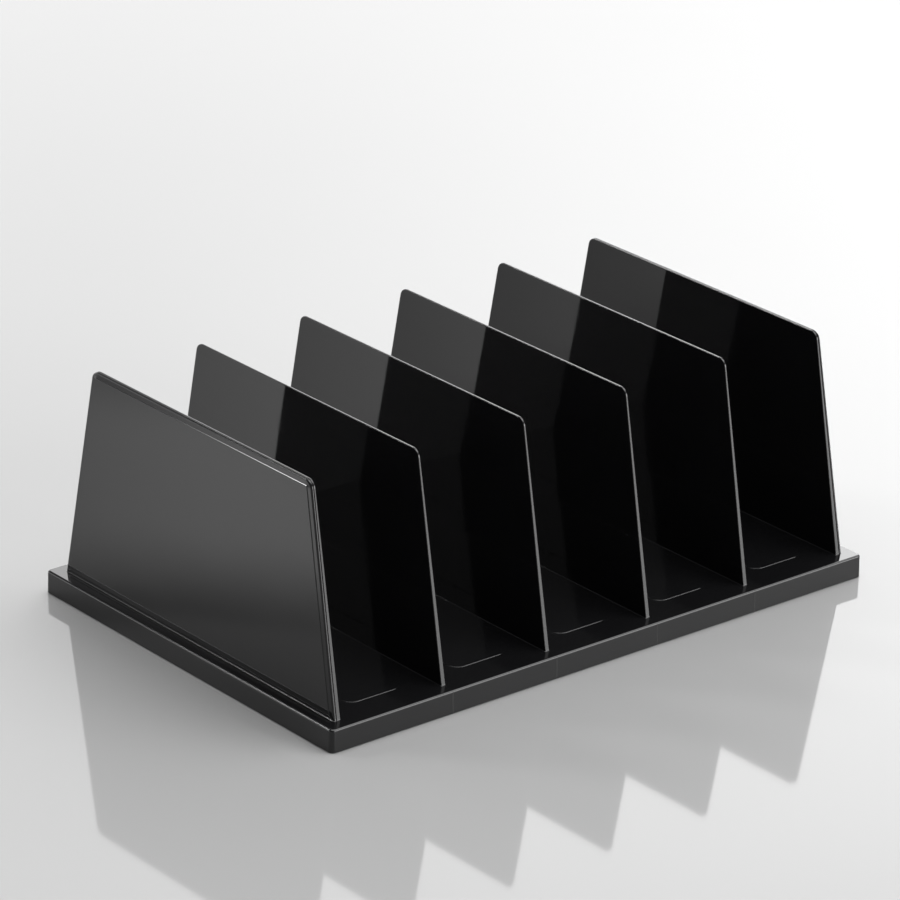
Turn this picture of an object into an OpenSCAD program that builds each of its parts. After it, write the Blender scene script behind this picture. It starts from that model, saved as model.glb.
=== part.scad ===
// Desktop file sorter: a low base made of five joined sections, four upright dividers,
// and an end wall with a cover plate at each end.
// X runs along the row of compartments, Y runs from front to back and Z is up.
// The origin is on the table, under the middle of the base.

/* [Overall] */
// Length of the base, along the row of compartments
base_l = 337; // [330:1:350]
// Depth of the base, from front to back
base_w = 230; // [200:1:260]
// Height of the deck's top face above the table
deck_z = 12; // [11:0.5:16]
// Height of the whole sorter above the table
total_h = 125; // [90:1:160]
// Spacing of the dividers
pitch = 64; // [60:0.5:65]

/* [Base sections] */
// Thickness of the deck
deck_t = 2.4; // [1.8:0.1:3]
// Thickness of the skirt
skirt_t = 2; // [1.6:0.1:3]
// How far the skirt slopes in between its foot and its top, on each side
skirt_draft = 0.25; // [0:0.05:0.6]
// Radius of the base's upright corners
corner_r = 2.5; // [2:0.5:6]
// Radius along the top edge of the skirt
edge_r = 1; // [0.4:0.1:1.4]
// Gap left at each joint between two sections
seam_gap = 0.05; // [0.05:0.05:0.3]
// Width of the low pad on each compartment's floor
pad_w = 33; // [10:1:40]
// Distance of the pad's ends from the front and back of the base
pad_inset = 18; // [12:1:40]
// Height of the pad above the deck
pad_h = 0.2; // [0.1:0.1:0.6]
// Radius of the pad's corners
pad_r = 6; // [2:1:8]

/* [Walls] */
// Distance from the base's front or back edge to a wall's foot
foot_inset = 7.5; // [6:0.5:20]
// Distance from the base's front or back edge to a wall's top corner
top_inset = 29; // [20:1:60]
// Radius of a wall's top corners
top_r = 5; // [2:0.5:12]
// Radius of the hollow round along a wall's foot
foot_fillet = 0.4; // [0.2:0.1:0.8]
// Thickness of a divider at its foot
divider_foot_t = 2.6; // [2.2:0.1:3.4]
// Thickness of a divider at its top
divider_top_t = 1.2; // [0.8:0.1:2]
// Width of the ledge outside each end cover
end_ledge = 7.2; // [6:0.1:8]
// Thickness of an end wall at its foot
end_foot_t = 2.4; // [1.8:0.1:2.6]
// Thickness of an end wall at its top
end_top_t = 1.1; // [0.8:0.1:1.6]
// How far an end wall's inner face leans inward over its height
end_lean = 0.5; // [0:0.1:1]

/* [End covers] */
// Thickness of a cover at its foot
cover_foot_t = 1.3; // [1:0.1:1.6]
// Thickness of a cover at its top
cover_top_t = 1.1; // [0.8:0.1:1.4]
// Width of the fine groove between a cover and its wall
groove_w = 0.25; // [0.1:0.05:0.5]
// Depth of that groove, in from the cover's edge
groove_d = 4; // [2:0.5:8]
// Width of the band left around the raised field
rim_w = 3; // [2:0.5:8]
// Height of the raised field above the band
field_h = 0.3; // [0.1:0.05:0.5]

/* [Joints and feet] */
// Thickness of the rib under the deck at each side of a joint
rib_t = 3; // [2.4:0.1:4]
// Thickness of a divider's tongue
tongue_t = 1.8; // [1.4:0.1:2]
// Thickness of the bead along the bottom of the tongue
bead_t = 3; // [2.4:0.1:3.6]
// How much shorter the tongue is than the foot, at each end
tongue_inset = 5; // [3:1:12]
// Length of a joint clip
clip_l = 24; // [12:1:40]
// Distance of the clips from the middle of the base
clip_y = 70; // [40:1:85]
// Thickness of a joint clip
clip_t = 1.2; // [1:0.1:1.4]
// Radius of a foot
foot_r = 6; // [4:0.5:8]
// Distance of a foot from the outside of the base
foot_in = 12; // [10:0.5:20]
// Gap between the skirt and the table
foot_gap = 0.4; // [0.3:0.1:1]

/* [Hidden] */
$fn = 64;

fit = 0.05;                       // clearance of a piece that is pressed or held in another
under_z = deck_z - deck_t;        // underside of the deck
half_l = base_l / 2;
half_w = base_w / 2;
seam_x = [-1.5 * pitch, -0.5 * pitch, 0.5 * pitch, 1.5 * pitch];

wall_h = total_h - deck_z;
foot_half = half_w - foot_inset;
top_half = half_w - top_inset;
lean = atan2(foot_half - top_half, wall_h);          // slope of a wall's front and back edges

cover_x = half_l - end_ledge;                        // outer face of a cover at its foot
cover_back_x = cover_x - cover_foot_t;
wall_out_x = cover_back_x - groove_w;
wall_in_x = wall_out_x - end_foot_t;
wall_in_top_x = wall_in_x - end_lean;
wall_out_top_x = wall_in_top_x + end_top_t;
cover_back_top_x = wall_out_top_x + groove_w;
cover_top_x = cover_back_top_x + cover_top_t;

rib_z = 2.2;                      // bottom of the joint ribs
bead_z = 3.2;                     // bottom of the tongues
bead_h = 1.4;
lip_z = 6;                        // underside of the clip's lips
lip_h = 1;
lip_d = 0.35;
tongue_half = foot_half - tongue_inset;

socket_t = 1.6;                   // walls of the socket under an end wall
socket_floor = 1;
end_tongue_in = wall_in_x + 0.25;       // the tongues of an end wall and of its cover lie
end_tongue_mid = wall_out_x - 0.3;      // side by side, set in a little from the faces
end_tongue_out = cover_x - 0.4;         // of the wall and the cover above them

boss_t = 2;                       // wall and floor around a foot's seat
boss_z = 1.2;
foot_h = 2;
stiffener_t = 1.4;                // ribs that run from joint to joint under the deck
stiffener_h = 4;
blank_x = 12;                     // more than any wall is thick, for cutting outlines from

// ---- helpers -------------------------------------------------------------------------------

// A box given by its lowest and highest corners
module span(low, high) {
    translate(low) cube(high - low);
}

// The upright section of the base's outside: half is half its width at the table
module skirt_profile(half) {
    top = half - skirt_draft;
    polygon([
        [-half, foot_gap], [half, foot_gap],
        [top, deck_z - edge_r], [top - edge_r, deck_z],
        [edge_r - top, deck_z], [-top, deck_z - edge_r]
    ]);
    for (side = [-1, 1])
        translate([side * (top - edge_r), deck_z - edge_r]) circle(edge_r);
}

// Turns a drawing in X and Y into one in Y and Z or in X and Z, as a bar of the given length
module bar_along_x(length) {
    rotate([90, 0, 90]) translate([0, 0, -length / 2]) linear_extrude(length) children();
}
module bar_along_y(length) {
    rotate([90, 0, 0]) translate([0, 0, -length / 2]) linear_extrude(length) children();
}

// A wall seen from the side, standing on the deck. Inset draws the same shape with a margin
module wall_outline(inset = 0, foot = 0, r = top_r) {
    edge = inset / cos(lean);
    low = foot_half - edge - foot * tan(lean);
    high = top_half - edge + inset * tan(lean);
    top = wall_h - inset;
    tangent = r / tan(45 + lean / 2);
    polygon([
        [-low, foot], [low, foot],
        [high + tangent * sin(lean), top - tangent * cos(lean)], [high - tangent, top],
        [tangent - high, top], [-high - tangent * sin(lean), top - tangent * cos(lean)]
    ]);
    for (side = [-1, 1])
        translate([side * (high - tangent), top - r]) circle(r);
}

// A hollow round between a wall's foot and the deck, drawn outward from the point at x = low
module foot_round(low) {
    translate([low, 0]) difference() {
        translate([-foot_fillet, 0]) square(2 * foot_fillet);
        translate([foot_fillet, foot_fillet]) circle(foot_fillet);
        translate([foot_fillet, 0]) square(3 * foot_fillet);
        translate([-foot_fillet, foot_fillet]) square(3 * foot_fillet);
    }
}

// A wall: its side outline, cut to a thickness that changes evenly from foot to top.
// The hollow round along its foot is left out on a side whose flare is 0.
module tapered_wall(foot_in_x, foot_out_x, top_in_x, top_out_x, flare_in = 1, flare_out = 1) {
    translate([0, 0, deck_z]) intersection() {
        translate([(foot_in_x + foot_out_x) / 2, 0, 0]) bar_along_x(blank_x) {
            wall_outline();
            foot_round(foot_half);
            mirror([1, 0, 0]) foot_round(foot_half);
        }
        bar_along_y(base_w) {
            polygon([
                [foot_in_x, 0], [foot_out_x, 0], [top_out_x, wall_h], [top_in_x, wall_h]
            ]);
            if (flare_out == 1) foot_round(foot_out_x);
            if (flare_in == 1) translate([2 * foot_in_x, 0]) mirror([1, 0, 0]) foot_round(foot_in_x);
        }
    }
}

// Makes the left-hand twin of a part drawn at the right-hand end
module at_end(side) {
    if (side < 0) mirror([1, 0, 0]) children();
    else children();
}

// ---- base ----------------------------------------------------------------------------------

// A round corner column of the base, with the same slope and top radius as the skirt
module corner_column() {
    rotate_extrude() intersection() {
        skirt_profile(corner_r);
        square([corner_r, deck_z]);
    }
}

// The base as if it were one shell: a deck with a skirt round it, open below
module base_shell() {
    column_x = half_l - corner_r;
    column_y = half_w - corner_r;
    difference() {
        union() {
            bar_along_x(2 * column_x) skirt_profile(half_w);
            bar_along_y(2 * column_y) skirt_profile(half_l);
            for (x = [-column_x, column_x], y = [-column_y, column_y])
                translate([x, y, 0]) corner_column();
        }
        span([skirt_t - half_l, skirt_t - half_w, -1], [half_l - skirt_t, half_w - skirt_t, under_z]);
    }
}

// The space that a divider's tongue and its bead need at a joint
module tongue_space(x, gap) {
    end = tongue_half + gap;
    span([x - tongue_t / 2 - gap, -end, bead_z - gap], [x + tongue_t / 2 + gap, end, deck_z + 1]);
    span([x - bead_t / 2 - gap, -end, bead_z - gap], [x + bead_t / 2 + gap, end, bead_z + bead_h + gap]);
}

// The grooves that a joint's clips snap into
module clip_grooves(x) {
    reach = rib_t + seam_gap / 2;
    for (y = [-clip_y, clip_y], side = [-1, 1])
        translate([x + side * reach, y, lip_z + lip_h / 2])
            cube([2 * lip_d + 2 * fit, clip_l + 2 * fit, lip_h + 2 * fit], center = true);
}

// The rib under the deck beside a joint. Side is the side of the joint that it is on
module joint_rib(x, side) {
    near = x + side * seam_gap / 2;
    far = near + side * rib_t;
    edge = half_w - skirt_t;
    span([min(near, far), -edge, rib_z], [max(near, far), edge, under_z]);
}

// The closed socket under the deck that an end wall and its cover plug into
module end_socket() {
    edge = tongue_half + socket_t;
    span([end_tongue_in - socket_t, -edge, bead_z - socket_floor],
         [end_tongue_out + socket_t, edge, under_z]);
}
module end_socket_space() {
    edge = tongue_half + fit;
    span([end_tongue_in - fit, -edge, bead_z], [end_tongue_out + fit, edge, deck_z + 1]);
}

// The boss under the deck that a foot is glued into, and the foot's seat in it
module foot_boss(x, y) {
    translate([x, y, boss_z]) cylinder(h = under_z - boss_z, r = foot_r + boss_t);
}
module foot_seat(x, y) {
    translate([x, y, 0]) cylinder(h = foot_h + fit, r = foot_r + fit);
}

// The low pad on a compartment's floor. Its edge is a quarter round, so the section below is
// drawn with its middle at the deck's top face, and its lower half lies inside the deck
module pad_section(half) {
    translate([pad_h - half, -pad_h]) square([2 * (half - pad_h), 2 * pad_h]);
    for (side = [-1, 1]) translate([side * (half - pad_h), 0]) circle(pad_h);
}
module floor_pad(x) {
    half_x = pad_w / 2;
    half_y = half_w - pad_inset;
    corner_x = half_x - pad_r;
    corner_y = half_y - pad_r;
    translate([x, 0, deck_z]) {
        bar_along_x(2 * corner_x) pad_section(half_y);
        bar_along_y(2 * corner_y) pad_section(half_x);
        for (side_x = [-1, 1], side_y = [-1, 1])
            translate([side_x * corner_x, side_y * corner_y, 0])
                rotate_extrude() intersection() {
                    pad_section(pad_r);
                    translate([0, -pad_h]) square([pad_r, 2 * pad_h]);
                }
    }
}

// One section of the base, between the planes x = low and x = high.
// The ends that meet another section are named in joints; feet lists the X of its feet.
module base_section(low, high, pad_x, joints, feet, end_side = 0) {
    first = low + (low > -half_l ? seam_gap / 2 : 0);
    last = high - (high < half_l ? seam_gap / 2 : 0);
    rib_first = max(first, skirt_t / 2 - half_l);      // the stiffeners end inside the skirt
    rib_last = min(last, half_l - skirt_t / 2);
    edge = half_w - skirt_t;
    foot_y = half_w - foot_in;
    color("#16161a") difference() {
        union() {
            intersection() {
                base_shell();
                span([first, -half_w, 0], [last, half_w, deck_z]);
            }
            for (joint = joints) joint_rib(joint[0], joint[1]);
            for (y = [-0.5, 0, 0.5])
                span([rib_first, y * edge - stiffener_t / 2, under_z - stiffener_h],
                     [rib_last, y * edge + stiffener_t / 2, under_z]);
            for (x = feet, y = [-foot_y, foot_y]) foot_boss(x, y);
            if (end_side != 0) at_end(end_side) end_socket();
            floor_pad(pad_x);
        }
        for (joint = joints) {
            tongue_space(joint[0], fit);
            clip_grooves(joint[0]);
        }
        for (x = feet, y = [-foot_y, foot_y]) foot_seat(x, y);
        if (end_side != 0) at_end(end_side) end_socket_space();
    }
}

module base_left() {
    base_section(-half_l, seam_x[0], seam_x[0] - pitch / 2, [[seam_x[0], -1]], [foot_in - half_l], -1);
}
module base_centre_left() {
    base_section(seam_x[0], seam_x[1], -pitch, [[seam_x[0], 1], [seam_x[1], -1]], []);
}
module base_centre() {
    base_section(seam_x[1], seam_x[2], 0, [[seam_x[1], 1], [seam_x[2], -1]], [0]);
}
module base_centre_right() {
    base_section(seam_x[2], seam_x[3], pitch, [[seam_x[2], 1], [seam_x[3], -1]], []);
}
module base_right() {
    base_section(seam_x[3], half_l, seam_x[3] + pitch / 2, [[seam_x[3], 1]], [half_l - foot_in], 1);
}

// ---- walls ---------------------------------------------------------------------------------

// A divider stands on the deck over a joint, and its beaded tongue is held between two sections
module divider(x) {
    color("#101014") {
        tapered_wall(x - divider_foot_t / 2, x + divider_foot_t / 2,
                     x - divider_top_t / 2, x + divider_top_t / 2);
        difference() {
            tongue_space(x, 0);
            span([x - bead_t, -half_w, deck_z], [x + bead_t, half_w, deck_z + 2]);
        }
    }
}
module divider_1() { divider(seam_x[0]); }
module divider_2() { divider(seam_x[1]); }
module divider_3() { divider(seam_x[2]); }
module divider_4() { divider(seam_x[3]); }

// An end wall, with the tongue that plugs into the socket of the end section
module end_wall(side) {
    color("#101014") at_end(side) {
        tapered_wall(wall_in_x, wall_out_x, wall_in_top_x, wall_out_top_x, flare_out = 0);
        span([end_tongue_in, -tongue_half, bead_z], [end_tongue_mid - fit, tongue_half, deck_z]);
    }
}
module end_wall_left() { end_wall(-1); }
module end_wall_right() { end_wall(1); }

// A cover: a plate with a raised field outside, and a thin land inside that leaves the groove
module end_cover(side) {
    land = groove_w - fit;
    color("#1c1c20") at_end(side) {
        tapered_wall(cover_back_x, cover_x, cover_back_top_x, cover_top_x, flare_in = 0);
        translate([0, 0, deck_z]) intersection() {
            translate([cover_x, 0, 0]) bar_along_x(blank_x) wall_outline(rim_w, rim_w / 2, 0.5);
            bar_along_y(base_w) polygon([
                [cover_x - 0.5, 0], [cover_x + field_h, 0],
                [cover_top_x + field_h, wall_h], [cover_top_x - 0.5, wall_h]
            ]);
        }
        translate([0, 0, deck_z]) intersection() {
            translate([cover_x, 0, 0]) bar_along_x(blank_x) wall_outline(groove_d, groove_d, 1);
            bar_along_y(base_w) polygon([
                [cover_back_x - land, 0], [cover_back_x + 0.5, 0],
                [cover_back_top_x + 0.5, wall_h], [cover_back_top_x - land, wall_h]
            ]);
        }
        span([end_tongue_mid, -tongue_half, bead_z], [end_tongue_out, tongue_half, deck_z]);
        span([cover_back_x, -tongue_half, deck_z - 1], [end_tongue_out, tongue_half, deck_z + 1]);
    }
}
module end_cover_left() { end_cover(-1); }
module end_cover_right() { end_cover(1); }

// ---- joints and feet -----------------------------------------------------------------------

// A channel that snaps over the two ribs of a joint from below
module joint_clip(x, y) {
    inner = rib_t + seam_gap / 2 + fit;
    outer = inner + clip_t;
    half = clip_l / 2;
    top = lip_z + lip_h + 1;
    difference() {
        span([x - outer, y - half, rib_z - fit - clip_t], [x + outer, y + half, top]);
        span([x - inner, y - half - 1, rib_z - fit], [x + inner, y + half + 1, top + 1]);
    }
    for (side = [-1, 1])
        translate([x + side * (inner - (lip_d - fit) / 2), y, lip_z + lip_h / 2])
            cube([lip_d + fit, clip_l, lip_h], center = true);
}
module joint_clips() {
    color("#303036")
        for (x = seam_x, y = [-clip_y, clip_y]) joint_clip(x, y);
}

// A soft round foot with a small bevel at the table
module foot(x, y) {
    bevel = 0.3;
    color("#26262a") translate([x * (half_l - foot_in), y * (half_w - foot_in), 0])
        rotate_extrude()
            polygon([[0, 0], [foot_r - bevel, 0], [foot_r, bevel], [foot_r, foot_h], [0, foot_h]]);
}
module foot_left_front() { foot(-1, -1); }
module foot_left_back() { foot(-1, 1); }
module foot_centre_front() { foot(0, -1); }
module foot_centre_back() { foot(0, 1); }
module foot_right_front() { foot(1, -1); }
module foot_right_back() { foot(1, 1); }

base_left();
base_centre_left();
base_centre();
base_centre_right();
base_right();
divider_1();
divider_2();
divider_3();
divider_4();
end_wall_left();
end_wall_right();
end_cover_left();
end_cover_right();
joint_clips();
foot_left_front();
foot_left_back();
foot_centre_front();
foot_centre_back();
foot_right_front();
foot_right_back();
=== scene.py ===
import math

import bmesh
import bpy
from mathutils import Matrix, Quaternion, Vector


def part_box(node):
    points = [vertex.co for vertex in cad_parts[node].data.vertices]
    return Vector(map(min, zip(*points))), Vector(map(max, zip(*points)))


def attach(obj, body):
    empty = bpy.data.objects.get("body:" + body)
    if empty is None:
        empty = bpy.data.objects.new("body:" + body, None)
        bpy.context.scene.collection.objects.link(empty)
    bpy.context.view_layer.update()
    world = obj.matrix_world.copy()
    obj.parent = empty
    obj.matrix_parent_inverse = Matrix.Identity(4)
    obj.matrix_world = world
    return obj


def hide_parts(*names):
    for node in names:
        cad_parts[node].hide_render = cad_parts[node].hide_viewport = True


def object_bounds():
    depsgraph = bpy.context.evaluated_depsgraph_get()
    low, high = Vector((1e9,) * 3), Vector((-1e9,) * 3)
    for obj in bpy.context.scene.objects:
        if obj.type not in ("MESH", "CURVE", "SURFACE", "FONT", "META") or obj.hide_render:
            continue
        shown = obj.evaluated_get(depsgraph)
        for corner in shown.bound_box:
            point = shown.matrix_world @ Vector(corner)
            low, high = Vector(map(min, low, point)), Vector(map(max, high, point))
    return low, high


# The looks of a desktop file sorter in gloss black plastic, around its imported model.
# The base sections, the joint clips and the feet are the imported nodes, with softened edges.
# The dividers, the end walls and the end covers are built here, ring by ring from the foot of
# the tongue up to the rounded top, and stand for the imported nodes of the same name.
# Everything is in metres.

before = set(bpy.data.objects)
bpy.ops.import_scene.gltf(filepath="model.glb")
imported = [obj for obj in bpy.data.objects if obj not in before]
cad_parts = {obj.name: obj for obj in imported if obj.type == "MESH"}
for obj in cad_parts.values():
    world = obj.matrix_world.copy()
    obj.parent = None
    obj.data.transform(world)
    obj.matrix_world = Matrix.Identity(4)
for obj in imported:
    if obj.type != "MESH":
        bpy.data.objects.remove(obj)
cad_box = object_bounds()

MM = 0.001
QUARTER_TURN = math.pi / 2

# ---- sizes of the walls and covers -------------------------------------------------------------

PAD_RISE = 0.2 * MM             # the pads stand this much above the deck
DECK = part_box("base_centre")[1].z - PAD_RISE
WALL_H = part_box("divider_1")[1].z - DECK
FOOT_ROUND = 0.4 * MM           # hollow round along the foot of a wall
FOOT_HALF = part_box("divider_1")[1].y - FOOT_ROUND
TOP_HALF = 86 * MM              # half the length of a wall's top, up to where its sides would meet
TOP_ROUND = 5 * MM
EDGE_ROUND = 0.42 * MM          # round on the long edges of a wall
COVER_ROUND = 0.95 * MM         # round on the outer edge of a cover
COVER_BACK_ROUND = 0.1 * MM     # round on the cover's inner edge, at its groove
LEAN = math.atan2(FOOT_HALF - TOP_HALF, WALL_H)

DIVIDER_FOOT_T = 2.6 * MM
DIVIDER_TOP_T = 1.2 * MM
END_FOOT_T = 2.4 * MM
END_TOP_T = 1.1 * MM
COVER_FOOT_T = 1.3 * MM
COVER_TOP_T = 1.1 * MM

COVER_RIM = 3 * MM              # width of the band round the raised field outside a cover
COVER_FOOT_RIM = 1.5 * MM       # height of that band along the foot
FIELD_CORNER = 0.5 * MM         # round at the top corners of the raised field
FIELD_RISE = 0.3 * MM
GROOVE_W = 0.25 * MM            # groove between a cover and its wall, at their edges
GROOVE_DEPTH = 4 * MM
LAND_CORNER = 1 * MM            # round at the top corners of the land inside the groove
LAND_RISE = 0.2 * MM

TONGUE_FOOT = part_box("divider_1")[0].z - DECK
TONGUE_HALF = 102.5 * MM
TONGUE_T = 1.8 * MM
BEAD_T = 3 * MM
BEAD_H = 1.4 * MM
TONGUE_ROUND = 0.2 * MM
WALL_TONGUE_INSET = 0.35 * MM   # how far an end wall's tongue lies in from the wall's outer face
COVER_TONGUE_INSET = 0.4 * MM
COVER_TONGUE_T = 1.45 * MM
COVER_SHOULDER = 0.3 * MM       # height over which a cover's tongue widens to the cover's foot
COVER_CLEARANCE = 0.05 * MM     # how far the top of that tongue lies out from the inner face

SEAM_HIGHLIGHT_W = 0.22 * MM           # width of the pale painted highlight line on the skirt at each side of a joint
SKIRT_TOP = DECK - 1.2 * MM     # where the skirt's face ends and its round top edge begins

EDGE_STEPS = 6                  # segments round a sheet's edge and round its foot
CORNER_STEPS = 14               # segments round a sheet's top corner
STRAIGHT_STEPS = 8              # rows between the foot and the top corner

# The side of a raised field, as (distance in from its outline, share of its full height)
STEP_SIDE = [(0.0, 0.0), (0.07 * MM, 0.14), (0.25 * MM, 0.82), (0.32 * MM, 0.96), (0.42 * MM, 1.0)]

# ---- meshes of the walls and covers ------------------------------------------------------------


class Field:
    """A field of a sheet's face that stands proud of the margin round it."""

    def __init__(self, margin, foot_margin, corner, height):
        self.margin = margin
        self.foot_margin = foot_margin
        self.corner = corner
        self.height = height

    def lift(self, z, depth):
        """How far the field stands proud at height z, at this depth in from its outline."""
        return self.height * min(side_share(depth), side_share(z - self.foot_margin))


class Sheet:
    """A wall or a cover: a tapered sheet whose front and back lean in, with round top corners.

    foot_x and top_x are the x of its low and its high face at the deck and at the top.
    flared is 1 for a face that has the hollow round along its foot. rounds has the radius along
    the edge of each face, and fields has a Field or None for each face. tongue lists the level
    rings below the deck as (z, half length, low x, high x).
    """

    def __init__(self, foot_x, top_x, flared, rounds, fields, tongue):
        self.foot_x = foot_x
        self.top_x = top_x
        self.flared = flared
        self.rounds = rounds
        self.fields = fields
        self.tongue = tongue

    def faces(self, z):
        """The x of the low and the high face at height z above the deck."""
        rise = z / WALL_H
        low, high = (a + (b - a) * rise for a, b in zip(self.foot_x, self.top_x))
        spread = foot_spread(z)
        return low - spread * self.flared[0], high + spread * self.flared[1]


def side_share(depth):
    """The share of a field's height that it has at this depth in from its outline."""
    for (near, low), (far, high) in zip(STEP_SIDE, STEP_SIDE[1:]):
        if depth <= far + 1e-9:
            return max(0.0, low + (high - low) * (depth - near) / (far - near))
    return 1.0


def foot_spread(z):
    """How far the hollow round at the foot stands out at height z above the deck."""
    if z >= FOOT_ROUND:
        return 0.0
    return FOOT_ROUND - math.sqrt(FOOT_ROUND ** 2 - (FOOT_ROUND - z) ** 2)


def level_line(z, half_y, slope=1.0):
    """A row of points at one height, as a function from depth to y and z."""
    return lambda depth: (half_y - depth * slope, z)


def lean_line(z, margin=0.0):
    """A level row on the leaning edge of a sheet, or of a field that is set in by margin."""
    half_y = FOOT_HALF + foot_spread(z) - z * math.tan(LEAN) - margin / math.cos(LEAN)
    return level_line(z, half_y, 1 / math.cos(LEAN))


def corner_centre(margin, radius):
    """The middle of the round at the top corner of an outline that is set in by margin."""
    tangent = radius / math.tan((QUARTER_TURN + LEAN) / 2)
    top_half = TOP_HALF - margin / math.cos(LEAN) + margin * math.tan(LEAN)
    return top_half - tangent, WALL_H - margin - radius


def corner_line(turn, margin, radius):
    """A row of points across the round top corner, at this angle above the level."""
    y, z = corner_centre(margin, radius)
    return lambda depth: (
        y + (radius - depth) * math.cos(turn),
        z + (radius - depth) * math.sin(turn),
    )


def front_points(sheet, edge, fields, faces, rounds):
    """A row of points across the front of a sheet, from inside its low face to inside its high.

    edge gives the points of the outline, and fields those of the field on each face.
    """
    points = []

    def add(line, depth, side, proud):
        y, z = line(depth)
        x = faces(z)[side] + (proud if side else -proud)
        points.append(Vector((x, -y, z + DECK)))

    def add_field(side, steps):
        field = sheet.fields[side]
        for depth, share in steps if field else ():
            height = fields[side](depth)[1]
            add(fields[side], depth, side, field.lift(height, depth))

    def add_edge(side, steps):
        radius = rounds[side]
        for step in steps:
            turn = QUARTER_TURN * step / EDGE_STEPS
            add(edge, radius * (1 - math.sin(turn)), side, radius * (math.cos(turn) - 1))

    add_field(0, reversed(STEP_SIDE))
    add_edge(0, range(EDGE_STEPS + 1))
    add_edge(1, range(EDGE_STEPS, -1, -1))
    add_field(1, STEP_SIDE)
    return points


def whole_ring(front):
    """The closed ring made of a front row and its mirror image at the back."""
    return front + [Vector((p.x, -p.y, p.z)) for p in reversed(front)]


def tongue_rings(sheet):
    """The level rings of a sheet's tongue, from its foot up to the deck."""
    rings = []
    for z, half_y, low, high in sheet.tongue:
        fields = [
            level_line(z, half_y - field.margin) if field else None for field in sheet.fields
        ]
        rounds = (TONGUE_ROUND, TONGUE_ROUND)
        row = front_points(sheet, level_line(z, half_y), fields, lambda z: (low, high), rounds)
        rings.append(whole_ring(row))
    return rings


def foot_heights(sheet):
    """The heights of the rows near the deck: up the hollow round and over the fields' feet."""
    turns = [QUARTER_TURN * step / EDGE_STEPS for step in range(EDGE_STEPS + 1)]
    heights = [FOOT_ROUND * (1 - math.cos(turn)) for turn in turns]
    for field in filter(None, sheet.fields):
        heights += [field.foot_margin + step[0] for step in STEP_SIDE]
    return sorted(heights)


def sheet_rings(sheet):
    """The rings of a sheet above the deck: its foot, its straight part and its top corners."""
    rings = []
    foot = foot_heights(sheet)
    margins = [(field.margin, field.corner) if field else None for field in sheet.fields]

    def corner_start(margin, radius):
        return corner_centre(margin, radius)[1] + radius * math.sin(LEAN)

    def add(edge, fields, spread=0.0):
        rounds = [r + spread * flare for r, flare in zip(sheet.rounds, sheet.flared)]
        rings.append(whole_ring(front_points(sheet, edge, fields, sheet.faces, rounds)))

    for z in foot:
        lines = [lean_line(z, m[0]) if m else None for m in margins]
        add(lean_line(z), lines, foot_spread(z))
    for step in range(1, STRAIGHT_STEPS):
        share = step / STRAIGHT_STEPS

        def height(margin, radius):
            return foot[-1] + (corner_start(margin, radius) - foot[-1]) * share

        lines = [lean_line(height(*m), m[0]) if m else None for m in margins]
        add(lean_line(height(0.0, TOP_ROUND)), lines)
    for step in range(CORNER_STEPS + 1):
        turn = LEAN + (QUARTER_TURN - LEAN) * step / CORNER_STEPS
        lines = [corner_line(turn, *m) if m else None for m in margins]
        add(corner_line(turn, 0.0, TOP_ROUND), lines)
    return rings


def mesh_of_rings(name, rings, side=1):
    """A closed mesh through rings of equal count, capped at both ends with strips.

    Each ring is a front row and its mirror image, so a cap joins the two point by point.
    """
    work = bmesh.new()
    rows = [[work.verts.new((side * p.x, p.y, p.z)) for p in ring] for ring in rings]
    count = len(rows[0])
    for lower, upper in zip(rows, rows[1:]):
        for i in range(count):
            j = (i + 1) % count
            work.faces.new((lower[i], lower[j], upper[j], upper[i]))
    for cap in (rows[0], rows[-1]):
        for i in range(count // 2 - 1):
            work.faces.new((cap[i], cap[i + 1], cap[count - 2 - i], cap[count - 1 - i]))
    bmesh.ops.recalc_face_normals(work, faces=work.faces)
    mesh = bpy.data.meshes.new(name)
    work.to_mesh(mesh)
    work.free()
    return mesh


def smooth_shading(mesh, sharp_angle):
    """Shades a mesh smooth, apart from edges sharper than the angle."""
    mesh.shade_smooth()
    mesh.set_sharp_from_angle(angle=sharp_angle)


def add_weighted_normals(piece):
    """Keeps large faces flat in shading, so that only the rounds between them turn."""
    modifier = piece.modifiers.new("normals", "WEIGHTED_NORMAL")
    modifier.mode = "FACE_AREA"
    modifier.weight = 100
    modifier.keep_sharp = True


def add_sheet(node, sheet, material, side=1):
    """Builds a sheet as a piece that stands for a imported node. Side -1 is the mirror image."""
    rings = tongue_rings(sheet) + sheet_rings(sheet)
    mesh = mesh_of_rings(node + "_panel", rings, side)
    smooth_shading(mesh, math.radians(35))
    piece = bpy.data.objects.new(node + "_panel", mesh)
    bpy.context.scene.collection.objects.link(piece)
    mesh.materials.append(material)
    add_weighted_normals(piece)
    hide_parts(node)
    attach(piece, "root")


def divider_sheet(x):
    """A divider, with a beaded tongue that the base sections hold between them."""
    bead_top = TONGUE_FOOT + BEAD_H
    tongue = []
    for z, half_t in (
        (TONGUE_FOOT, BEAD_T / 2 - TONGUE_ROUND),
        (TONGUE_FOOT + TONGUE_ROUND, BEAD_T / 2),
        (bead_top - TONGUE_ROUND, BEAD_T / 2),
        (bead_top, BEAD_T / 2 - TONGUE_ROUND),
        (bead_top, TONGUE_T / 2),
        (0.0, TONGUE_T / 2),
    ):
        tongue.append((z, TONGUE_HALF, x - half_t, x + half_t))
    foot_x = (x - DIVIDER_FOOT_T / 2, x + DIVIDER_FOOT_T / 2)
    top_x = (x - DIVIDER_TOP_T / 2, x + DIVIDER_TOP_T / 2)
    return Sheet(foot_x, top_x, (1, 1), (EDGE_ROUND, EDGE_ROUND), (None, None), tongue)


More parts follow.
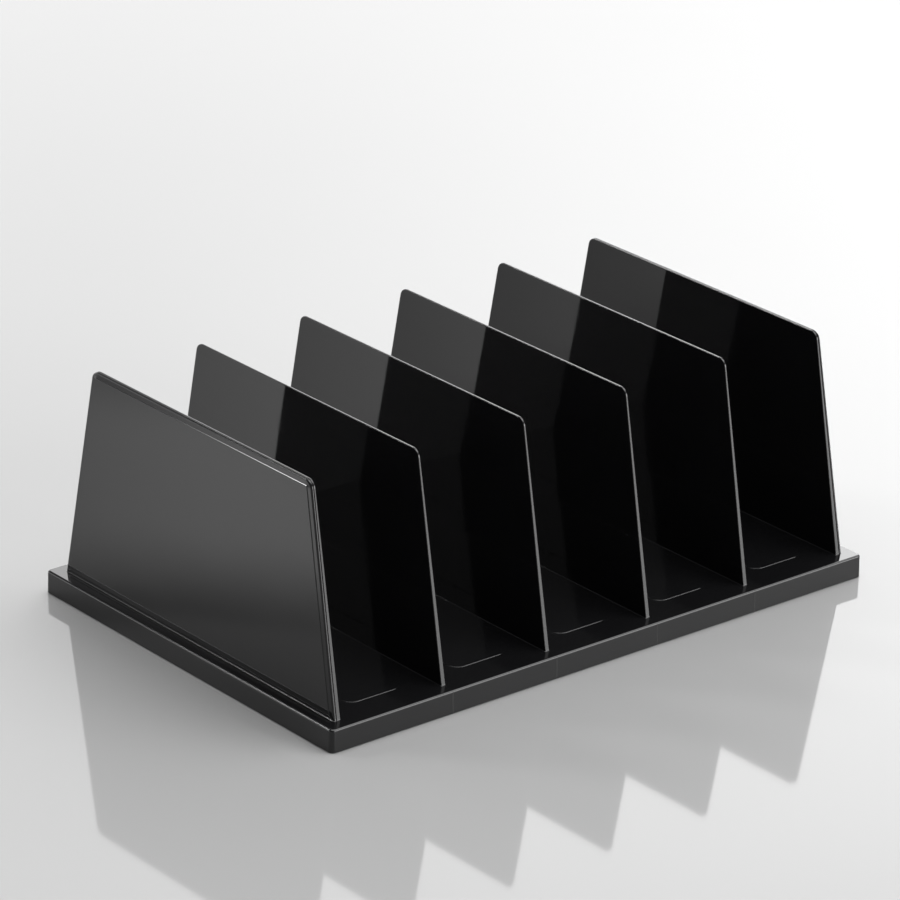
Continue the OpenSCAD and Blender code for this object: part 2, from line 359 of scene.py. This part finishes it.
def end_wall_sheet():
    """The end wall at the right-hand end, with a plain tongue."""
    top_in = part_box("end_wall_right")[0].x
    foot_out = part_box("end_wall_right")[1].x
    foot_x = (foot_out - END_FOOT_T, foot_out)
    tongue_out = foot_out - WALL_TONGUE_INSET
    tongue_x = (tongue_out - TONGUE_T, tongue_out)
    tongue = [
        (TONGUE_FOOT, TONGUE_HALF - TONGUE_ROUND, *tongue_x),
        (TONGUE_FOOT + TONGUE_ROUND, TONGUE_HALF, *tongue_x),
        (0.0, TONGUE_HALF, *tongue_x),
    ]
    top_x = (top_in, top_in + END_TOP_T)
    return Sheet(foot_x, top_x, (1, 0), (EDGE_ROUND, EDGE_ROUND), (None, None), tongue)


def end_cover_sheet():
    """The cover of the right-hand end wall, with a raised field outside and a land inside.

    The land is the part of the inner face that lies inside the groove, and it nearly touches
    the wall.
    """
    low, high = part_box("end_cover_right")
    foot_out = high.x - FOOT_ROUND
    foot_in = foot_out - COVER_FOOT_T
    wall_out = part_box("end_wall_right")[0].x + END_TOP_T
    top_in = wall_out + GROOVE_W
    tongue_out = foot_out - COVER_TONGUE_INSET
    tongue_in = tongue_out - COVER_TONGUE_T
    tongue = [
        (TONGUE_FOOT, TONGUE_HALF - TONGUE_ROUND, tongue_in, tongue_out),
        (TONGUE_FOOT + TONGUE_ROUND, TONGUE_HALF, tongue_in, tongue_out),
        (-COVER_SHOULDER, TONGUE_HALF, tongue_in, tongue_out),
        (0.0, TONGUE_HALF, foot_in + COVER_CLEARANCE, tongue_out),
    ]
    outer = Field(COVER_RIM, COVER_FOOT_RIM, FIELD_CORNER, FIELD_RISE)
    land = Field(GROOVE_DEPTH, GROOVE_DEPTH, LAND_CORNER, LAND_RISE)
    foot_x = (foot_in, foot_out)
    top_x = (top_in, top_in + COVER_TOP_T)
    return Sheet(foot_x, top_x, (0, 1), (COVER_BACK_ROUND, COVER_ROUND), (land, outer), tongue)


# ---- node helpers ------------------------------------------------------------------------------


def add_node(tree, kind, inputs=None, **settings):
    """Adds a node. An input is given a value, or linked if the value is another socket."""
    node = tree.nodes.new(kind)
    for name, value in settings.items():
        setattr(node, name, value)
    for key, value in (inputs or {}).items():
        if isinstance(value, bpy.types.NodeSocket):
            tree.links.new(value, node.inputs[key])
        else:
            node.inputs[key].default_value = value
    return node


def compute(tree, operation, *values):
    """The result of a math node."""
    inputs = dict(enumerate(values))
    return add_node(tree, "ShaderNodeMath", inputs, operation=operation).outputs[0]


def total(tree, values):
    """The sum of several sockets."""
    result = values[0]
    for value in values[1:]:
        result = compute(tree, "ADD", result, value)
    return result


def ramp(tree, value, start, end, low=0.0, high=1.0):
    """Maps value smoothly from the range start to end to the range low to high."""
    inputs = {"Value": value, "From Min": start, "From Max": end, "To Min": low, "To Max": high}
    node = add_node(
        tree, "ShaderNodeMapRange", inputs, interpolation_type="SMOOTHSTEP", clamp=True
    )
    return node.outputs["Result"]


def noise(tree, place, scale, detail=2.0, roughness=0.5, distortion=0.0):
    """A noise pattern, with scale in waves per metre."""
    inputs = {
        "Vector": place,
        "Scale": scale,
        "Detail": detail,
        "Roughness": roughness,
        "Distortion": distortion,
    }
    return add_node(tree, "ShaderNodeTexNoise", inputs).outputs["Fac"]


def moved_place(tree, seed, scale=(1, 1, 1), turn=(0, 0, 0)):
    """The object's own coordinates, shifted by the seed so that no two pieces match."""
    source = add_node(tree, "ShaderNodeTexCoord").outputs["Object"]
    inputs = {
        "Vector": source,
        "Location": (seed * 1.7, seed * 0.9, seed * 2.3),
        "Rotation": turn,
        "Scale": scale,
    }
    return add_node(tree, "ShaderNodeMapping", inputs).outputs["Vector"]


# ---- materials ---------------------------------------------------------------------------------

# Pairs of the darkest and the lightest colour of a surface
PLASTIC_COLOURS = ((0.0036, 0.0036, 0.0039), (0.0054, 0.0054, 0.0058))
CLIP_COLOURS = ((0.028, 0.028, 0.032), (0.044, 0.044, 0.050))
FOOT_COLOURS = ((0.022, 0.022, 0.024), (0.036, 0.036, 0.038))
FLOOR_COLOURS = ((0.277, 0.277, 0.277), (0.290, 0.290, 0.290))
# A pale grey painted into the skirt's colour at the joints: a painted highlight of the joints'
# edges.
SEAM_HIGHLIGHT_COLOUR = (0.030, 0.030, 0.030, 1)

# The fine relief of the plastic: waves per metre, and heights in metres
RIPPLE_SCALE = 17
RIPPLE_H = 70e-6
PEEL_SCALE = 260
PEEL_H = 0.5e-6
SCRATCH_H = -0.5e-6

# The wipe marks: (shift of the pattern, turn) of each set, how much the pattern is drawn out,
# and where it is cut
HAIRLINE_TURNS = ((0.0, 0.35), (3.1, 1.25))
HAIRLINE_SCALE = (900, 900, 9)
HAIRLINE_CUT = (0.68, 0.78)

# Roughness of the clean plastic, and what the smudges and the wipe marks add to it
PLASTIC_ROUGHNESS = 0.035
SMUDGE_ROUGHNESS = 0.035
HAIRLINE_ROUGHNESS = 0.02


def new_material(name):
    """A material with a principled shader. Returns the material, its tree and the shader."""
    material = bpy.data.materials.new(name)
    material.use_nodes = True
    tree = material.node_tree
    return material, tree, tree.nodes["Principled BSDF"]


def blend_colours(tree, factor, first, second):
    """A colour that goes from the first to the second with the factor."""
    inputs = {0: factor, 6: first, 7: second}
    return add_node(tree, "ShaderNodeMix", inputs, data_type="RGBA").outputs[2]


def grey_between(tree, factor, dark, light):
    """A colour that goes from dark to light with the factor."""
    return blend_colours(tree, factor, (*dark, 1), (*light, 1))


def hairlines(tree, seed):
    """Faint straight wipe marks: a noise that is drawn out in one direction and cut high."""
    marks = []
    for offset, turn in HAIRLINE_TURNS:
        place = moved_place(tree, seed + offset, scale=HAIRLINE_SCALE, turn=(turn, 0.2, turn))
        marks.append(ramp(tree, noise(tree, place, 1.0, 1.0), *HAIRLINE_CUT))
    return compute(tree, "MAXIMUM", *marks)


def seam_highlights(tree, joined_ends):
    """Pale painted highlight lines on the skirt, just inside a base section's ends, where the
    joint's edges would catch light.
    """
    source = add_node(tree, "ShaderNodeTexCoord").outputs["Object"]
    x, y, z = add_node(tree, "ShaderNodeSeparateXYZ", {0: source}).outputs
    below = compute(tree, "LESS_THAN", z, SKIRT_TOP)
    marks = []
    for end in joined_ends:
        distance = compute(tree, "ABSOLUTE", compute(tree, "SUBTRACT", x, end))
        highlight_line = ramp(tree, distance, 0.7 * SEAM_HIGHLIGHT_W, 1.3 * SEAM_HIGHLIGHT_W, 1.0, 0.0)
        marks.append(compute(tree, "MULTIPLY", highlight_line, below))
    return total(tree, marks)


def gloss_plastic(name, seed, joined_ends=()):
    """Polished black plastic: long moulding ripples, fine orange peel, smudges and wipe marks.

    joined_ends has the x of each end of a base section that meets another section; a pale painted
    highlight line is drawn on the skirt there.
    """
    material, tree, shader = new_material(name)
    place = moved_place(tree, seed)
    ripple = compute(tree, "MULTIPLY", noise(tree, place, RIPPLE_SCALE, 1.0), RIPPLE_H)
    peel = compute(tree, "MULTIPLY", noise(tree, place, PEEL_SCALE, 1.0), PEEL_H)
    marks = hairlines(tree, seed)
    scratches = compute(tree, "MULTIPLY", marks, SCRATCH_H)
    height = total(tree, [ripple, peel, scratches])
    bump = add_node(tree, "ShaderNodeBump", {"Height": height, "Distance": 1.0, "Strength": 1.0})
    patches = noise(tree, place, 21, 4.0, 0.6, 0.4)
    smudges = ramp(tree, patches, 0.45, 0.75, 0.0, SMUDGE_ROUGHNESS)
    worn = compute(tree, "MULTIPLY", marks, HAIRLINE_ROUGHNESS)
    roughness = compute(tree, "ADD", total(tree, [smudges, worn]), PLASTIC_ROUGHNESS)
    colour = grey_between(tree, noise(tree, place, 40, 3.0), *PLASTIC_COLOURS)
    # At each joint a pale painted highlight line goes into the skirt's colour.
    if joined_ends:
        colour = blend_colours(tree, seam_highlights(tree, joined_ends), colour, SEAM_HIGHLIGHT_COLOUR)
    tree.links.new(colour, shader.inputs["Base Color"])
    tree.links.new(roughness, shader.inputs["Roughness"])
    tree.links.new(bump.outputs["Normal"], shader.inputs["Normal"])
    shader.inputs["IOR"].default_value = 1.5
    return material


def grained(name, colours, roughness, grain_scale, grain_height):
    """A matt moulded surface with a fine grain. Used for the clips and for the rubber feet."""
    material, tree, shader = new_material(name)
    place = moved_place(tree, 0.5)
    grain = noise(tree, place, grain_scale, 4.0, 0.6)
    patches = noise(tree, place, 60, 3.0)
    height = compute(tree, "MULTIPLY", grain, grain_height)
    bump = add_node(tree, "ShaderNodeBump", {"Height": height, "Distance": 1.0, "Strength": 1.0})
    tree.links.new(grey_between(tree, patches, *colours), shader.inputs["Base Color"])
    rough = ramp(tree, patches, 0.3, 0.7, roughness - 0.06, roughness + 0.06)
    tree.links.new(rough, shader.inputs["Roughness"])
    tree.links.new(bump.outputs["Normal"], shader.inputs["Normal"])
    return material


def floor_material():
    """A pale, slightly glossy table top that mirrors the object faintly."""
    material, tree, shader = new_material("pale_floor")
    place = moved_place(tree, 0.0)
    tint = grey_between(tree, noise(tree, place, 3, 2.0), *FLOOR_COLOURS)
    tree.links.new(tint, shader.inputs["Base Color"])
    shader.inputs["Roughness"].default_value = 0.05
    shader.inputs["IOR"].default_value = 1.27
    return material


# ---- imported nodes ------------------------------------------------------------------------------

BASE_EDGE = 0.05 * MM
CLIP_EDGE = 0.15 * MM
FOOT_EDGE = 0.1 * MM


def soften_edges(node, width):
    """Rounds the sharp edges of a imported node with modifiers, and leaves its mesh alone."""
    weld = node.modifiers.new("weld", "WELD")
    weld.merge_threshold = 0.001 * MM
    flat = node.modifiers.new("flat", "DECIMATE")
    flat.decimate_type = "DISSOLVE"
    flat.angle_limit = math.radians(0.4)
    bevel = node.modifiers.new("edges", "BEVEL")
    bevel.width = width
    bevel.segments = 2
    bevel.limit_method = "ANGLE"
    bevel.angle_limit = math.radians(40)
    bevel.harden_normals = False
    add_weighted_normals(node)


def dress_node(name, material, width):
    """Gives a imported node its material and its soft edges."""
    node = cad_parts[name]
    for material_slot in node.material_slots:
        material_slot.material = material
    soften_edges(node, width)


# ---- stage, light and camera -------------------------------------------------------------------

FLOOR_RADIUS = 30.0


def add_floor():
    """A large round table top under the object."""
    work = bmesh.new()
    bmesh.ops.create_circle(work, cap_ends=True, segments=96, radius=FLOOR_RADIUS)
    mesh = bpy.data.meshes.new("floor")
    work.to_mesh(mesh)
    work.free()
    mesh.materials.append(floor_material())
    floor = bpy.data.objects.new("floor", mesh)
    bpy.context.scene.collection.objects.link(floor)


def direction(azimuth, elevation):
    """The unit vector at these angles in degrees. Azimuth 0 is +Y and 90 is +X."""
    a = math.radians(azimuth)
    e = math.radians(elevation)
    return Vector((math.sin(a) * math.cos(e), math.cos(a) * math.cos(e), math.sin(e)))


ROOM_STRENGTH = 0.16
SKY_STRENGTH = 0.9              # how bright the background is to the camera itself

# Each panel's azimuth, elevation, half width, half height, softness and strength
PANELS = [
    (10, 14, 2.2, 0.42, 0.35, 2.6),       # the wide bank behind the object
    (-33, 36.5, 0.10, 0.075, 0.5, 34.0),  # the small strip at the back left
    (64, 32, 0.55, 0.34, 0.6, 3.0),       # the panel at the back right
    (150, 10, 0.6, 0.31, 0.4, 7.0),       # the softbox at the front right
    (120, 75, 0.6, 1.0, 0.6, 4.6),        # the panel overhead
]


def light_panel(tree, ray, azimuth, elevation, half_w, half_h, softness, strength):
    """The light of a flat, soft-edged panel that faces the object from far off.

    The half width and half height are distances on the panel for a panel 1 away. softness is
    the share of each that the soft edge takes.
    """
    facing = direction(azimuth, elevation)
    across = facing.cross(Vector((0, 0, 1))).normalized()
    up = across.cross(facing)

    def along(axis):
        node = add_node(tree, "ShaderNodeVectorMath", {0: ray, 1: axis}, operation="DOT_PRODUCT")
        return node.outputs["Value"]

    depth = along(facing)
    ahead = compute(tree, "MAXIMUM", depth, 0.001)
    result = compute(tree, "GREATER_THAN", depth, 0.0)
    for axis, half in ((across, half_w), (up, half_h)):
        offset = compute(tree, "ABSOLUTE", compute(tree, "DIVIDE", along(axis), ahead))
        share = ramp(tree, offset, half * (1 - softness), half, 1.0, 0.0)
        result = compute(tree, "MULTIPLY", result, share)
    return compute(tree, "MULTIPLY", result, strength)


def add_studio_light():
    """A dim room with the light panels in it. The camera sees a plain pale background."""
    world = bpy.data.worlds.new("studio")
    bpy.context.scene.world = world
    world.use_nodes = True
    tree = world.node_tree
    ray = add_node(tree, "ShaderNodeTexCoord").outputs["Generated"]
    panels = [light_panel(tree, ray, *panel) for panel in PANELS]
    room = add_node(tree, "ShaderNodeValue").outputs[0]
    room.default_value = ROOM_STRENGTH
    strength = total(tree, [room, *panels])
    seen = add_node(tree, "ShaderNodeLightPath").outputs["Is Camera Ray"]
    inputs = {0: seen, 2: strength, 3: SKY_STRENGTH}
    shown = add_node(tree, "ShaderNodeMix", inputs, data_type="FLOAT").outputs[0]
    tree.links.new(shown, tree.nodes["Background"].inputs["Strength"])
    tree.nodes["Background"].inputs["Color"].default_value = (1.0, 1.0, 1.0, 1.0)


BOARD_AT = Vector((-0.79, 0.645, 0.27))
BOARD_HALVES = (0.40, 0.10)     # half the board's width and half its height
BOARD_SOFTNESS = (0.95, 0.7)    # the share of each that the soft edge takes
BOARD_STRENGTH = 8.2


def board_material():
    """A glowing sheet that is brightest in its middle and fades to nothing at its edges.

    It shines only on light that has turned twice on its way from the camera: it is seen in the
    table when the table itself is seen in the object, and leaves no patch on the bare table.
    """
    material = bpy.data.materials.new("light_board")
    material.use_nodes = True
    tree = material.node_tree
    tree.nodes.remove(tree.nodes["Principled BSDF"])
    source = add_node(tree, "ShaderNodeTexCoord").outputs["Object"]
    x, y, z = add_node(tree, "ShaderNodeSeparateXYZ", {0: source}).outputs
    depth = add_node(tree, "ShaderNodeLightPath").outputs["Ray Depth"]
    strength = compute(tree, "MULTIPLY", compute(tree, "GREATER_THAN", depth, 1.5), BOARD_STRENGTH)
    for value, half, softness in zip((x, y), BOARD_HALVES, BOARD_SOFTNESS):
        offset = compute(tree, "ABSOLUTE", value)
        share = ramp(tree, offset, half * (1 - softness), half, 1.0, 0.0)
        strength = compute(tree, "MULTIPLY", share, strength)
    glow = add_node(tree, "ShaderNodeEmission", {"Strength": strength}).outputs[0]
    tree.links.new(glow, tree.nodes["Material Output"].inputs["Surface"])
    return material


def add_light_board():
    """A low light near the object at its back left, which the camera itself does not see.

    It is near, so its image in the table reaches only the upper part of the left end.
    """
    work = bmesh.new()
    half_w, half_h = BOARD_HALVES
    corners = [(-half_w, -half_h), (half_w, -half_h), (half_w, half_h), (-half_w, half_h)]
    work.faces.new([work.verts.new((x, y, 0)) for x, y in corners])
    mesh = bpy.data.meshes.new("light_board")
    work.to_mesh(mesh)
    work.free()
    mesh.materials.append(board_material())
    board = bpy.data.objects.new("light_board", mesh)
    board.location = BOARD_AT
    level = Vector((-BOARD_AT.x, -BOARD_AT.y, 0.0))
    board.rotation_mode = "QUATERNION"
    board.rotation_quaternion = level.to_track_quat("Z", "Y")
    board.visible_camera = False
    board.visible_shadow = False
    bpy.context.scene.collection.objects.link(board)


CAMERA_FROM = Vector((-1.4233, -1.7120, 0.9940))
CAMERA_AT = Vector((-0.0058, 0.0, 0.0738))
CAMERA_ROLL = math.radians(-1.10)
CAMERA_FOV = math.radians(10.517)


def add_camera():
    """A long lens that looks down at the object from its front left."""
    camera = bpy.data.cameras.new("camera")
    camera.sensor_width = 36
    camera.lens = camera.sensor_width / 2 / math.tan(CAMERA_FOV / 2)
    camera.clip_end = 100
    holder = bpy.data.objects.new("camera", camera)
    bpy.context.scene.collection.objects.link(holder)
    view = CAMERA_AT - CAMERA_FROM
    level = view.to_track_quat("-Z", "Y")
    holder.rotation_mode = "QUATERNION"
    holder.rotation_quaternion = Quaternion(view.normalized(), CAMERA_ROLL) @ level
    holder.location = CAMERA_FROM
    bpy.context.scene.camera = holder


# ---- the whole scene ---------------------------------------------------------------------------

BASE_NODES = ["base_left", "base_centre_left", "base_centre", "base_centre_right", "base_right"]
DIVIDER_NODES = ["divider_1", "divider_2", "divider_3", "divider_4"]
FOOT_NODES = [
    "foot_left_front", "foot_left_back", "foot_centre_front",
    "foot_centre_back", "foot_right_front", "foot_right_back",
]

clip_material = grained(
    "clip_plastic_grain", CLIP_COLOURS, roughness=0.46, grain_scale=1500, grain_height=12e-6
)
foot_material = grained(
    "foot_rubber_grain", FOOT_COLOURS, roughness=0.82, grain_scale=900, grain_height=30e-6
)

for seed, name in enumerate(BASE_NODES, start=1):
    ends = [corner.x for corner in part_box(name) if abs(corner.x) < cad_box[1].x - MM]
    dress_node(name, gloss_plastic(name + "_gloss", seed, ends), BASE_EDGE)
for seed, name in enumerate(DIVIDER_NODES, start=11):
    low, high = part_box(name)
    add_sheet(name, divider_sheet((low.x + high.x) / 2), gloss_plastic(name + "_gloss", seed))
for seed, side, end in ((21, -1, "left"), (22, 1, "right")):
    wall = "end_wall_" + end
    cover = "end_cover_" + end
    add_sheet(wall, end_wall_sheet(), gloss_plastic(wall + "_gloss", seed), side)
    add_sheet(cover, end_cover_sheet(), gloss_plastic(cover + "_gloss", seed + 10), side)
dress_node("joint_clips", clip_material, CLIP_EDGE)
for name in FOOT_NODES:
    dress_node(name, foot_material, FOOT_EDGE)

add_floor()
add_studio_light()
add_light_board()
add_camera()
bpy.context.scene.view_settings.view_transform = "Standard"
